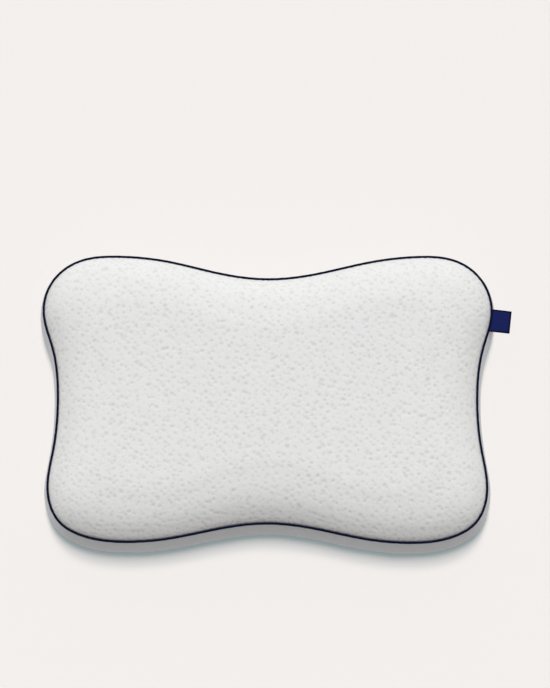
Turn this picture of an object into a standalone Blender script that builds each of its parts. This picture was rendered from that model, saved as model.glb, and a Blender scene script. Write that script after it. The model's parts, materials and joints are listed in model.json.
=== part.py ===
"""Contoured foam pillow in a piped knit cover, lying on its underside.

Metres, +Z up. The origin is the middle of the underside, on the surface that the pillow lies on.
+X runs along the pillow's length and +Y towards its back edge.

The cover is sewn from a dimpled top panel, a side band and a base panel. Piping is sewn into the seam
between the top panel and the band, and a folded label tab stands out of that seam at the right.
The filling and the top panel are one filled solid, and every other piece is a solid of its own.
"""

import math
from typing import NamedTuple

import bmesh
import bpy
import numpy as np

# Driving sizes of the whole pillow.
TOP_SEAM_HEIGHT = 0.074
TOTAL_HEIGHT = 0.110
PLATEAU_RISE = 0.003
SHOULDER_WIDTH = 0.085
SHOULDER_FULLNESS = 2.1

# The cover's cloth, and the space left between pieces.
CLOTH = 0.0022
FIT = 0.0003

# The side band swells out between its two seams.
BAND_SWELL = 0.0068
BAND_ROUNDNESS = 0.8
BAND_LEVELS = 6

# The underside turns up to the base seam in a quarter of an ellipse.
BASE_SEAM_HEIGHT = 0.010
BASE_SEAM_OUT = -0.0006
BASE_TURN_REACH = 0.016
BASE_TURN_STEPS = 3

# The piping's middle lies just outside the seam line.
PIPING_RADIUS = 0.0016
PIPING_OUT = 0.0002

# The label tab, and how far its middle is round the seam from the back dip.
LABEL_WIDTH = 0.028
LABEL_REACH = 0.0245
LABEL_THICKNESS = 0.0014
LABEL_DROOP = 0.0018
LABEL_DROP = 0.0006
LABEL_SEAM_PLACE = 0.354
LABEL_COLUMNS = 8
LABEL_ROWS = 6
LABEL_FOLD_STEPS = 4

STATIONS = 108
FINE_STATIONS = 1440

# Depths of the top panel's rings, as shares of the shoulder's width, and then of what is left.
SHOULDER_RINGS = (0.0, 0.006, 0.02, 0.05, 0.10, 0.17, 0.26, 0.37, 0.50, 0.66, 0.83, 1.0)
PLATEAU_RINGS = (0.76, 0.5, 0.25)


class Station(NamedTuple):
    """A point of the top seam in plan, on the half with positive X."""

    place: str
    across: float
    along: float


HALF_OUTLINE = (
    Station("back dip", 0.0000, 0.1625),
    Station("back rise, inner", 0.0660, 0.1705),
    Station("back rise, outer", 0.1340, 0.1856),
    Station("back lobe", 0.2000, 0.1932),
    Station("back corner", 0.2540, 0.1845),
    Station("back shoulder", 0.2860, 0.1550),
    Station("back widest", 0.2960, 0.1160),
    Station("waist, back", 0.2835, 0.0680),
    Station("waist", 0.2763, 0.0050),
    Station("waist, front", 0.2830, -0.0700),
    Station("front widest", 0.2895, -0.1260),
    Station("front shoulder", 0.2740, -0.1660),
    Station("front corner", 0.2360, -0.1875),
    Station("front lobe", 0.1870, -0.1930),
    Station("front rise, outer", 0.1280, -0.1876),
    Station("front rise, inner", 0.0640, -0.1746),
    Station("front dip", 0.0000, -0.1671),
)


class Outline(NamedTuple):
    """The seam line in plan: its points, and the outward direction at each."""

    points: np.ndarray
    outward: np.ndarray

    def depth_of_centre(self) -> np.ndarray:
        """How far in from the seam the pillow's middle is, square to the seam at each point."""
        return (self.points * self.outward).sum(axis=1)


def clear_scene() -> None:
    """Remove whatever the scene holds."""
    for thing in list(bpy.data.objects):
        bpy.data.objects.remove(thing, do_unlink=True)


def seam_knots() -> np.ndarray:
    """The outline's stations, with the left half mirrored from the right."""
    right = [(row.across, row.along) for row in HALF_OUTLINE]
    left = [(-across, along) for across, along in right[-2:0:-1]]
    return np.array(right + left)


def closed_spline(knots: np.ndarray, count: int) -> np.ndarray:
    """Points at equal steps along the closed cubic spline through the knots."""
    total = len(knots)
    following = np.roll(knots, -1, axis=0)
    spans = np.linalg.norm(following - knots, axis=1)
    slopes = (following - knots) / spans[:, None]
    system = np.zeros((total, total))
    for row in range(total):
        before, after = spans[row - 1], spans[row]
        system[row, row - 1] = before
        system[row, row] = 2 * (before + after)
        system[row, (row + 1) % total] = after
    bends = np.linalg.solve(system, 6 * (slopes - np.roll(slopes, 1, axis=0)))
    starts = np.concatenate([[0.0], np.cumsum(spans)])

    def at(travel: np.ndarray) -> np.ndarray:
        span = np.clip(np.searchsorted(starts, travel, side="right") - 1, 0, total - 1)
        after = (span + 1) % total
        width = spans[span][:, None]
        near = (starts[span + 1] - travel)[:, None] / width
        far = 1 - near
        bend = (near**3 - near) * bends[span] + (far**3 - far) * bends[after]
        return near * knots[span] + far * knots[after] + bend * width**2 / 6

    travel = np.linspace(0.0, starts[-1], FINE_STATIONS + 1)
    dense = at(travel)
    lengths = np.linalg.norm(np.diff(dense, axis=0), axis=1)
    arc = np.concatenate([[0.0], np.cumsum(lengths)])
    wanted = np.arange(count) * arc[-1] / count
    return at(np.interp(wanted, arc, travel))


def outline(count: int) -> Outline:
    """The seam line with that many points, clockwise from the back dip as seen from above."""
    points = closed_spline(seam_knots(), count)
    ahead = np.roll(points, -1, axis=0) - np.roll(points, 1, axis=0)
    ahead /= np.linalg.norm(ahead, axis=1)[:, None]
    outward = np.stack([-ahead[:, 1], ahead[:, 0]], axis=1)
    return Outline(points, outward)


def ring_at(seam: Outline, out: float, height: float) -> np.ndarray:
    """The closed row of points that lies out from the seam line, at one height."""
    plan = seam.points + seam.outward * out
    return np.column_stack([plan, np.full(len(plan), height)])


def band_section(inset: float) -> list[tuple[float, float]]:
    """The side band's (out, height) points from the base seam up, moved in by inset."""
    low = BASE_SEAM_HEIGHT + FIT / 2
    high = TOP_SEAM_HEIGHT - PIPING_RADIUS - FIT
    top_out = PIPING_OUT + PIPING_RADIUS / 2
    section = []
    for level in range(BAND_LEVELS + 1):
        share = (1 - math.cos(math.pi * level / BAND_LEVELS)) / 2
        swell = BAND_SWELL * max(math.sin(math.pi * share), 0.0) ** BAND_ROUNDNESS
        out = BASE_SEAM_OUT + (top_out - BASE_SEAM_OUT) * share + swell - inset
        section.append((out, low + (high - low) * share))
    return section


def base_section(inset: float) -> list[tuple[float, float]]:
    """The underside's turned-up edge from the flat up to the base seam, moved in by inset."""
    top = BASE_SEAM_HEIGHT - FIT / 2
    section = []
    for step in range(BASE_TURN_STEPS + 1):
        turn = math.pi / 2 * step / BASE_TURN_STEPS
        out = BASE_SEAM_OUT - inset - (BASE_TURN_REACH - inset) * (1 - math.sin(turn))
        section.append((out, inset + (top - inset) * (1 - math.cos(turn))))
    return section


def top_rings(seam: Outline, foot_out: float, foot_height: float) -> list[np.ndarray]:
    """The top panel's rings from its foot at the piping to the level plateau in the middle."""
    foot = seam.points + seam.outward * foot_out
    depth_of_centre = seam.depth_of_centre() + foot_out
    rise = TOTAL_HEIGHT - PLATEAU_RISE - foot_height
    rings = []

    def add(share_of_radius: np.ndarray, climb: float) -> None:
        heights = foot_height + rise * climb + PLATEAU_RISE * (1 - share_of_radius**2)
        rings.append(np.column_stack([foot * share_of_radius[:, None], heights]))

    for depth_share in SHOULDER_RINGS:
        kept = (1 - depth_share) ** SHOULDER_FULLNESS
        add(1 - depth_share * SHOULDER_WIDTH / depth_of_centre, math.sqrt(1 - kept))
    plateau_edge = 1 - SHOULDER_WIDTH / depth_of_centre
    for share in PLATEAU_RINGS:
        add(plateau_edge * share, 1.0)
    return rings


def add_loop(bm: bmesh.types.BMesh, ring: np.ndarray) -> list[bmesh.types.BMVert]:
    """New vertices for one closed row of points."""
    return [bm.verts.new(point) for point in ring.tolist()]


def join_loops(bm: bmesh.types.BMesh, loops: list[list[bmesh.types.BMVert]]) -> None:
    """Quads from each loop to the next."""
    for lower, upper in zip(loops, loops[1:]):
        for here in range(len(lower)):
            there = (here + 1) % len(lower)
            bm.faces.new((lower[here], lower[there], upper[there], upper[here]))


def cloth_material(name: str, colour: tuple[float, float, float], roughness: float):
    """A plain material for one kind of cloth."""
    material = bpy.data.materials.new(name)
    material.use_nodes = True
    shader = material.node_tree.nodes["Principled BSDF"]
    shader.inputs["Base Color"].default_value = (*colour, 1.0)
    shader.inputs["Roughness"].default_value = roughness
    shader.inputs["Metallic"].default_value = 0.0
    material.diffuse_color = (*colour, 1.0)
    return material


def object_from(bm: bmesh.types.BMesh, name: str, material) -> bpy.types.Object:
    """The finished mesh as an object, with its faces pointing out."""
    bmesh.ops.recalc_face_normals(bm, faces=bm.faces)
    mesh = bpy.data.meshes.new(name)
    bm.to_mesh(mesh)
    bm.free()
    mesh.materials.append(material)
    mesh.shade_smooth()
    mesh.set_sharp_from_angle(angle=math.radians(40))
    made = bpy.data.objects.new(name, mesh)
    bpy.context.scene.collection.objects.link(made)
    return made


def make_cushion(seam: Outline, material) -> bpy.types.Object:
    """The filled cushion: flat below, drawn in at its sides, and crowned by the top panel."""
    lining = CLOTH + FIT
    foot_out = PIPING_OUT - PIPING_RADIUS - FIT
    rings = [ring_at(seam, out, height) for out, height in base_section(lining)]
    rings += [ring_at(seam, out, height) for out, height in band_section(lining)]
    rings += top_rings(seam, foot_out, TOP_SEAM_HEIGHT)
    bm = bmesh.new()
    loops = [add_loop(bm, ring) for ring in rings]
    join_loops(bm, loops)
    bm.faces.new(loops[0])
    summit = bm.verts.new((0.0, 0.0, TOTAL_HEIGHT))
    innermost = loops[-1]
    for here in range(len(innermost)):
        bm.faces.new((innermost[here], innermost[(here + 1) % len(innermost)], summit))
    return object_from(bm, "cushion", material)


def make_side_band(seam: Outline, material) -> bpy.types.Object:
    """The strip of cloth sewn round the cushion's side, as a closed ring."""
    outer = band_section(0.0)
    inner = band_section(CLOTH)
    bm = bmesh.new()
    loops = [add_loop(bm, ring_at(seam, out, height)) for out, height in outer + inner[::-1]]
    join_loops(bm, loops + loops[:1])
    return object_from(bm, "side_band", material)


def make_base_panel(seam: Outline, material) -> bpy.types.Object:
    """The flat panel under the cushion, whose edge turns up to the base seam."""
    outer = base_section(0.0)
    inner = base_section(CLOTH)
    bm = bmesh.new()
    loops = [add_loop(bm, ring_at(seam, out, height)) for out, height in outer + inner[::-1]]
    join_loops(bm, loops)
    bm.faces.new(loops[0])
    bm.faces.new(loops[-1])
    return object_from(bm, "base_panel", material)


def make_piping(seam: Outline, material) -> bpy.types.Object:
    """The cloth-covered cord in the top seam, as one closed tube."""
    curve = bpy.data.curves.new("piping", "CURVE")
    curve.dimensions = "3D"
    curve.bevel_depth = PIPING_RADIUS
    curve.bevel_resolution = 2
    run = curve.splines.new("POLY")
    ring = ring_at(seam, PIPING_OUT, TOP_SEAM_HEIGHT)
    run.points.add(len(ring) - 1)
    for point, place in zip(run.points, ring.tolist()):
        point.co = (*place, 1.0)
    run.use_cyclic_u = True
    run.use_smooth = True
    curve.materials.append(material)
    made = bpy.data.objects.new("piping", curve)
    bpy.context.scene.collection.objects.link(made)
    return made


def label_section() -> list[tuple[float, float]]:
    """The folded tab's closed section: (share of the reach, height above its middle plane)."""
    half = LABEL_THICKNESS / 2
    straight = 1 - half / LABEL_REACH
    rows = [straight * row / LABEL_ROWS for row in range(LABEL_ROWS + 1)]
    section = [(share, half) for share in rows]
    for step in range(1, LABEL_FOLD_STEPS):
        turn = math.pi * step / LABEL_FOLD_STEPS
        reach = straight + half / LABEL_REACH * math.sin(turn)
        section.append((reach, half * math.cos(turn)))
    section += [(share, -half) for share in reversed(rows)]
    return section


def make_label_tab(material) -> bpy.types.Object:
    """The ribbon tab, folded at its outer end, that stands out from under the piping."""
    fine = outline(FINE_STATIONS)
    steps = np.linalg.norm(np.roll(fine.points, -1, axis=0) - fine.points, axis=1)
    travel = np.concatenate([[0.0], np.cumsum(steps)])[:-1]
    middle = int(np.searchsorted(travel, LABEL_SEAM_PLACE))
    outward = fine.outward[middle]
    along = np.array([outward[1], -outward[0]])
    root_out = PIPING_OUT + PIPING_RADIUS + FIT
    root_height = TOP_SEAM_HEIGHT - LABEL_DROP
    tip = fine.points[middle] + outward * (root_out + LABEL_REACH)
    section = label_section()
    bm = bmesh.new()
    loops = []
    for column in range(LABEL_COLUMNS + 1):
        offset = LABEL_WIDTH * (column / LABEL_COLUMNS - 0.5)
        at = int(np.searchsorted(travel, LABEL_SEAM_PLACE + offset))
        root = fine.points[at] + fine.outward[at] * root_out
        end = tip + along * offset
        loop = []
        for share, above in section:
            plan = root + (end - root) * share
            height = root_height - LABEL_DROOP * share**2 + above
            loop.append(bm.verts.new((plan[0], plan[1], height)))
        loops.append(loop)
    join_loops(bm, loops)
    bm.faces.new(loops[0])
    bm.faces.new(loops[-1])
    return object_from(bm, "label_tab", material)


def main() -> None:
    """Build every piece of the pillow."""
    clear_scene()
    seam = outline(STATIONS)
    top_knit = cloth_material("dimpled_top_knit", (0.80, 0.80, 0.79), 0.9)
    band_knit = cloth_material("smooth_band_knit", (0.76, 0.76, 0.76), 0.88)
    base_knit = cloth_material("plain_base_knit", (0.74, 0.74, 0.73), 0.92)
    piping_cloth = cloth_material("navy_piping", (0.010, 0.018, 0.060), 0.6)
    label_ribbon = cloth_material("navy_ribbon", (0.012, 0.022, 0.085), 0.65)
    make_cushion(seam, top_knit)
    make_side_band(seam, band_knit)
    make_base_panel(seam, base_knit)
    make_piping(seam, piping_cloth)
    make_label_tab(label_ribbon)


main()
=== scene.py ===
"""Looks of the contoured pillow: its dimpled top, ribbed side band, base, piping and label tab.

Metres, +Z up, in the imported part's own frame: +X along the pillow, +Y to its back edge, Z 0 on the
surface that it lies on. The seam's outline is the same table of stations that the part's source holds:
a name, then the distance across and along in metres. The last two numbers of a row are how many
millimetres the sewn seam is pulled out at that station, on the right and on the left. Every other size
is a field of the class that uses it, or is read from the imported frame.
"""

import json
import logging
import math
from dataclasses import dataclass, field
from enum import Enum

import bmesh
import bpy
import numpy as np
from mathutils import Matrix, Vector
from mathutils.geometry import delaunay_2d_cdt
from mathutils.kdtree import KDTree

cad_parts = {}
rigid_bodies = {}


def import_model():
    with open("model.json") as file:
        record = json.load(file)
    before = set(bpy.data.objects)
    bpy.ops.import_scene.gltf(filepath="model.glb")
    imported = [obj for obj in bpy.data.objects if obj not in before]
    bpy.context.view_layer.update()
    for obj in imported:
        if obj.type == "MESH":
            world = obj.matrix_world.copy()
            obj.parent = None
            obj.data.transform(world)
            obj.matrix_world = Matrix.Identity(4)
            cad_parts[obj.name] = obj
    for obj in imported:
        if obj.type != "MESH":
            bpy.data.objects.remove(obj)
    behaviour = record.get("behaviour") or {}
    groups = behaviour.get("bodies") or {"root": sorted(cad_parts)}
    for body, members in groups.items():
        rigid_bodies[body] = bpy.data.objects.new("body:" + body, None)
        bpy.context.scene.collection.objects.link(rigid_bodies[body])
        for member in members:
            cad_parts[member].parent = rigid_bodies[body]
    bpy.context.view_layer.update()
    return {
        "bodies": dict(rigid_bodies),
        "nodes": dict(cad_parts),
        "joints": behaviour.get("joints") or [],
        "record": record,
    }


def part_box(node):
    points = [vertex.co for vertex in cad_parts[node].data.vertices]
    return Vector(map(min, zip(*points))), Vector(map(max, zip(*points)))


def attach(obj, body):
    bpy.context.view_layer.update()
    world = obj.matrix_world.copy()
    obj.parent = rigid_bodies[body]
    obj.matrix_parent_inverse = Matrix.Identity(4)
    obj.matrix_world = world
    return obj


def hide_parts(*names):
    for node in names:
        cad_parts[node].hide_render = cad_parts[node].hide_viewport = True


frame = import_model()

NodeValue = float | bpy.types.NodeSocket
LOG = logging.getLogger("pillow")
BODY = "root"
CLOTH_MAP = "cloth"
PIT_DEPTH = "pit"
MM = 0.001

HALF_OUTLINE = (
    ("back dip", 0.0000, 0.1625, -0.8, -0.8),
    ("back rise, inner", 0.0660, 0.1705, -1.5, -0.5),
    ("back rise, outer", 0.1340, 0.1856, -1.2, 0.4),
    ("back lobe", 0.2000, 0.1932, -1.0, -0.6),
    ("back corner", 0.2540, 0.1845, 0.4, 0.1),
    ("back shoulder", 0.2860, 0.1550, 1.4, 1.5),
    ("back widest", 0.2960, 0.1160, 1.3, 0.9),
    ("waist, back", 0.2835, 0.0680, 1.9, 1.0),
    ("waist", 0.2763, 0.0050, 0.6, 0.4),
    ("waist, front", 0.2830, -0.0700, -1.2, -0.9),
    ("front widest", 0.2895, -0.1260, -1.3, -1.0),
    ("front shoulder", 0.2740, -0.1660, -0.5, -1.4),
    ("front corner", 0.2360, -0.1875, -0.1, -1.8),
    ("front lobe", 0.1870, -0.1930, 0.1, -1.2),
    ("front rise, outer", 0.1280, -0.1876, 0.4, -0.3),
    ("front rise, inner", 0.0640, -0.1746, 0.1, -0.1),
    ("front dip", 0.0000, -0.1671, 0.3, 0.3),
)


class Slot(Enum):
    """The record's material slots."""

    TOP = "top_knit"
    BAND = "band_knit"
    BASE = "base_knit"
    PIPING = "piping_cloth"
    LABEL = "label_ribbon"


def smooth_step(value: np.ndarray, low: float, high: float) -> np.ndarray:
    """A smooth 0 to 1 ramp.

    Args:
        value: What the ramp is read at.
        low: Where the ramp starts.
        high: Where the ramp ends.

    Returns:
        The ramp's height at each value.
    """
    share = np.clip((value - low) / (high - low), 0.0, 1.0)
    return share * share * (3 - 2 * share)


def ripple(travel: np.ndarray, length: float, waves: range, seed: int) -> np.ndarray:
    """Uneven waves round a closed seam.

    Args:
        travel: How far round the seam each value is wanted.
        length: The whole way round.
        waves: The numbers of waves round the seam that are mixed.
        seed: Fixes the mix.

    Returns:
        Heights with a mean of 0 and a spread of about 1.
    """
    dice = np.random.default_rng(seed)
    total = np.zeros_like(travel)
    for count in waves:
        size, phase = dice.normal(), dice.uniform(0, 2 * math.pi)
        total += size * np.sin(2 * math.pi * count * travel / length + phase)
    return total / math.sqrt(len(waves) / 2)


@dataclass(frozen=True)
class Loop:
    """A closed row of points of the seam in plan, clockwise from the back dip as seen from above."""

    points: np.ndarray
    outward: np.ndarray
    travel: np.ndarray

    def offset(self, out: float | np.ndarray) -> np.ndarray:
        """The row moved square to the seam, outwards where out is positive."""
        return self.points + self.outward * np.reshape(out, (-1, 1))


class SeamLine:
    """The top seam in plan: the closed cubic spline through the outline's stations."""

    fine_count = 1440

    def __init__(self) -> None:
        """Solve the spline and measure its length."""
        right = [(across, along, pull) for _, across, along, pull, _ in HALF_OUTLINE]
        left = [(-across, along, pull) for _, across, along, _, pull in HALF_OUTLINE[-2:0:-1]]
        table = np.array(right + left)
        drawn = table[:, :2]
        ahead = np.roll(drawn, -1, axis=0) - np.roll(drawn, 1, axis=0)
        outward = np.column_stack([-ahead[:, 1], ahead[:, 0]])
        outward /= np.linalg.norm(outward, axis=1)[:, None]
        self.knots = drawn + outward * table[:, 2:] * MM
        following = np.roll(self.knots, -1, axis=0)
        self.spans = np.linalg.norm(following - self.knots, axis=1)
        self.starts = np.concatenate([[0.0], np.cumsum(self.spans)])
        self.bends = self._bends((following - self.knots) / self.spans[:, None])
        self.chord = np.linspace(0.0, self.starts[-1], self.fine_count + 1)
        steps = np.linalg.norm(np.diff(self._at(self.chord), axis=0), axis=1)
        self.arc = np.concatenate([[0.0], np.cumsum(steps)])
        self.length = float(self.arc[-1])

    def _bends(self, slopes: np.ndarray) -> np.ndarray:
        """The spline's second derivatives at the stations."""
        total = len(self.knots)
        system = np.zeros((total, total))
        for row in range(total):
            before, after = self.spans[row - 1], self.spans[row]
            system[row, row - 1] = before
            system[row, row] = 2 * (before + after)
            system[row, (row + 1) % total] = after
        return np.linalg.solve(system, 6 * (slopes - np.roll(slopes, 1, axis=0)))

    def _at(self, chord: np.ndarray) -> np.ndarray:
        """Points of the spline at travel measured along its chords."""
        total = len(self.knots)
        span = np.clip(np.searchsorted(self.starts, chord, side="right") - 1, 0, total - 1)
        after = (span + 1) % total
        width = self.spans[span][:, None]
        near = (self.starts[span + 1] - chord)[:, None] / width
        far = 1 - near
        bend = (near**3 - near) * self.bends[span] + (far**3 - far) * self.bends[after]
        return near * self.knots[span] + far * self.knots[after] + bend * width**2 / 6

    def at(self, travel: np.ndarray) -> Loop:
        """The seam at any distances round it from the back dip.

        Args:
            travel: Distances round the seam.

        Returns:
            The points there, with their outward directions.
        """
        step = self.length / self.fine_count / 2

        def place(where: np.ndarray) -> np.ndarray:
            """Points of the spline at those distances, wrapped round."""
            return self._at(np.interp(where % self.length, self.arc, self.chord))

        ahead = place(travel + step) - place(travel - step)
        ahead /= np.linalg.norm(ahead, axis=1)[:, None]
        outward = np.column_stack([-ahead[:, 1], ahead[:, 0]])
        return Loop(place(travel), outward, travel)

    def loop(self, count: int) -> Loop:
        """The seam as that many points at equal steps."""
        return self.at(np.arange(count) * self.length / count)


@dataclass(frozen=True)
class CoverSizes:
    """Heights and offsets shared by the cover's pieces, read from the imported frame."""

    seam_height: float
    piping_radius: float
    base_seam: float
    top: float
    piping_out: float = 0.2 * MM
    groove: float = 0.25 * MM
    bulge_lean: float = 0.68
    fit: float = 0.3 * MM
    cloth: float = 2.2 * MM
    plateau_rise: float = 2.4 * MM
    shoulder_width: float = 85 * MM
    shoulder_fullness: float = 3.0
    foot_slack: float = 1.4 * MM
    band_swell: float = 6.8 * MM
    band_roundness: float = 0.8
    base_seam_out: float = -0.6 * MM
    base_turn_reach: float = 16 * MM

    @classmethod
    def from_frame(cls) -> "CoverSizes":
        """Read the piping's middle and size, the base seam's height and the top from the frame."""
        low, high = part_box("piping")
        drawn_in = 0.15 * MM
        return cls(
            seam_height=(low.z + high.z) / 2,
            piping_radius=(high.z - low.z) / 2 - drawn_in,
            base_seam=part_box("base_panel")[1].z,
            top=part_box("cushion")[1].z,
        )

    @property
    def foot_out(self) -> float:
        """How far out the top panel's foot is, against the piping."""
        return self.piping_out - self.piping_radius - self.groove

    @property
    def band_low(self) -> float:
        """Height of the band's lower edge."""
        return self.base_seam + self.fit

    @property
    def band_high(self) -> float:
        """Height of the band's upper edge, tucked up under the piping."""
        return self.seam_height - 0.8 * self.piping_radius

    def band_out(self, share: np.ndarray) -> np.ndarray:
        """How far out the band is at each share of its height."""
        top_out = self.piping_out + self.piping_radius / 2
        settled = np.clip(share, 0.0, 1.0) ** self.bulge_lean
        bulge = np.clip(np.sin(math.pi * settled), 0.0, None) ** self.band_roundness
        return self.base_seam_out + (top_out - self.base_seam_out) * share + self.band_swell * bulge

    def climb(self, depth: np.ndarray) -> np.ndarray:
        """How much of the shoulder's rise is reached at each depth in from the foot."""
        start = self.foot_slack / self.shoulder_width
        share = np.clip(depth / self.shoulder_width, 0.0, 1.0) * (1 - start) + start
        rise = np.sqrt(np.clip(1 - (1 - share) ** self.shoulder_fullness, 0.0, None))
        foot = math.sqrt(1 - (1 - start) ** self.shoulder_fullness)
        return (rise - foot) / (1 - foot)


def soft_depth(points: np.ndarray, rim: np.ndarray, sharpness: int = 6) -> np.ndarray:
    """Depth in from a closed rim, as a smooth blend of the distances to all of it.

    Args:
        points: Plan points inside the rim.
        rim: The rim's points at equal steps.
        sharpness: How strongly the nearest stretch of the rim counts.

    Returns:
        The depth of each point, which is the plain distance near a straight rim.
    """
    step = np.linalg.norm(np.roll(rim, -1, axis=0) - rim, axis=1).mean()
    beta = math.sqrt(math.pi) * math.gamma((sharpness - 1) / 2) / math.gamma(sharpness / 2)
    depth = np.empty(len(points))
    chunk = 4000
    for start in range(0, len(points), chunk):
        part = points[start : start + chunk]
        square = ((part[:, None, :] - rim[None, :, :]) ** 2).sum(axis=2)
        total = (np.maximum(square, 1e-12) ** (-sharpness / 2)).sum(axis=1) * step / beta
        depth[start : start + chunk] = total ** (-1 / (sharpness - 1))
    return depth


def vertex_normals(places: np.ndarray, triangles: np.ndarray) -> np.ndarray:
    """Unit normals of a triangle mesh's points, weighted by area."""
    a, b, c = (places[triangles[:, corner]] for corner in range(3))
    across = np.cross(b - a, c - a)
    normals = np.zeros_like(places)
    for corner in range(3):
        for axis in range(3):
            normals[:, axis] += np.bincount(
                triangles[:, corner], across[:, axis], minlength=len(places)
            )
    return normals / np.maximum(np.linalg.norm(normals, axis=1)[:, None], 1e-20)


def ring_quads(rows: list[np.ndarray]) -> np.ndarray:
    """Quads between closed rows of point numbers, each row joined to the next."""
    quads = []
    for lower, upper in zip(rows, rows[1:]):
        quads.append(
            np.column_stack([lower, np.roll(lower, -1), np.roll(upper, -1), upper])
        )
    return np.vstack(quads)


def ring_numbers(count: int, rings: int, first: int = 0) -> list[np.ndarray]:
    """The point numbers of rings that are laid down one after the other."""
    return [np.arange(count) + first + ring * count for ring in range(rings)]


def fan(ring: np.ndarray, middle: int) -> list:
    """Triangles from a ring of point numbers to the point in its middle."""
    return [[int(here), int(after), middle] for here, after in zip(ring, np.roll(ring, -1))]


def at_height(plan: np.ndarray, height: float) -> np.ndarray:
    """Plan points, all at one height."""
    return np.column_stack([plan, np.full(len(plan), height)])


def rim_reach(rim: np.ndarray, points: np.ndarray) -> np.ndarray:
    """How far the rim is from the middle, in each point's direction."""
    angle = np.arctan2(rim[:, 1], rim[:, 0])
    order = np.argsort(angle)
    return np.interp(
        np.arctan2(points[:, 1], points[:, 0]),
        angle[order],
        np.linalg.norm(rim, axis=1)[order],
        period=2 * math.pi,
    )


def tree_of(places: np.ndarray) -> KDTree:
    """A search tree over points in space."""
    tree = KDTree(len(places))
    for number, place in enumerate(places.tolist()):
        tree.insert(place, number)
    tree.balance()
    return tree


def mesh_piece(name: str, places: np.ndarray, faces: list) -> bpy.types.Object:
    """A new mesh object at the origin, shaded smooth, with every face turned out of the closed mesh.

    Args:
        name: The piece's name.
        places: Its points.
        faces: Its faces, as rows of point numbers.

    Returns:
        The object, linked to the scene.
    """
    mesh = bpy.data.meshes.new(name)
    mesh.from_pydata(places.tolist(), [], faces)
    bm = bmesh.new()
    bm.from_mesh(mesh)
    bmesh.ops.recalc_face_normals(bm, faces=bm.faces)
    bm.to_mesh(mesh)
    bm.free()
    mesh.shade_smooth()
    piece = bpy.data.objects.new(name, mesh)
    bpy.context.scene.collection.objects.link(piece)
    return piece


def give_map(piece: bpy.types.Object, flat: np.ndarray) -> None:
    """Give a piece a cloth map in metres, from one flat place for each of its points."""
    mesh = piece.data
    corner_points = np.empty(len(mesh.loops), np.int32)
    mesh.loops.foreach_get("vertex_index", corner_points)
    layer = mesh.uv_layers.new(name=CLOTH_MAP)
    layer.uv.foreach_set("vector", flat[corner_points].astype(np.float32).ravel())


def close_map_seam(piece: bpy.types.Object, length: float) -> None:
    """Move the map's corners that wrap back to 0 on to the end of the length, face by face."""
    mesh = piece.data
    layer = mesh.uv_layers[CLOTH_MAP]
    flat = np.empty(len(mesh.loops) * 2, np.float32)
    layer.uv.foreach_get("vector", flat)
    flat = flat.reshape(-1, 2)
    for face in mesh.polygons:
        corners = list(face.loop_indices)
        if np.ptp(flat[corners, 0]) > length / 2:
            wrapped = [corner for corner in corners if flat[corner, 0] < length / 2]
            flat[wrapped, 0] += length
    layer.uv.foreach_set("vector", flat.ravel())


def ring_piece(name: str, rows: list, flats: list, length: float) -> bpy.types.Object:
    """A closed tube of rings that run round the seam.

    Args:
        name: The piece's name.
        rows: The points of each ring.
        flats: Their places on the flat cloth.
        length: The whole way round the seam.

    Returns:
        The object, with its cloth map.
    """
    numbers = ring_numbers(len(rows[0]), len(rows))
    piece = mesh_piece(name, np.vstack(rows), ring_quads(numbers + numbers[:1]).tolist())
    give_map(piece, np.vstack(flats))
    close_map_seam(piece, length)
    return piece


def give_attribute(piece: bpy.types.Object, name: str, values: np.ndarray) -> None:
    """Give a piece a number at each of its points, for its material to read."""
    layer = piece.data.attributes.new(name, "FLOAT", "POINT")
    layer.data.foreach_set("value", values.astype(np.float32))


def hand_over(piece: bpy.types.Object, slot: Slot, material: bpy.types.Material, *nodes: str) -> None:
    """Dress a finished piece, and hide the CAD nodes that it stands for."""
    piece.data.materials.clear()
    piece.data.materials.append(material)
    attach(piece, BODY)
    if nodes:
        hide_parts(*nodes)
    LOG.info("%s: %d faces", piece.name, len(piece.data.polygons))


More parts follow.
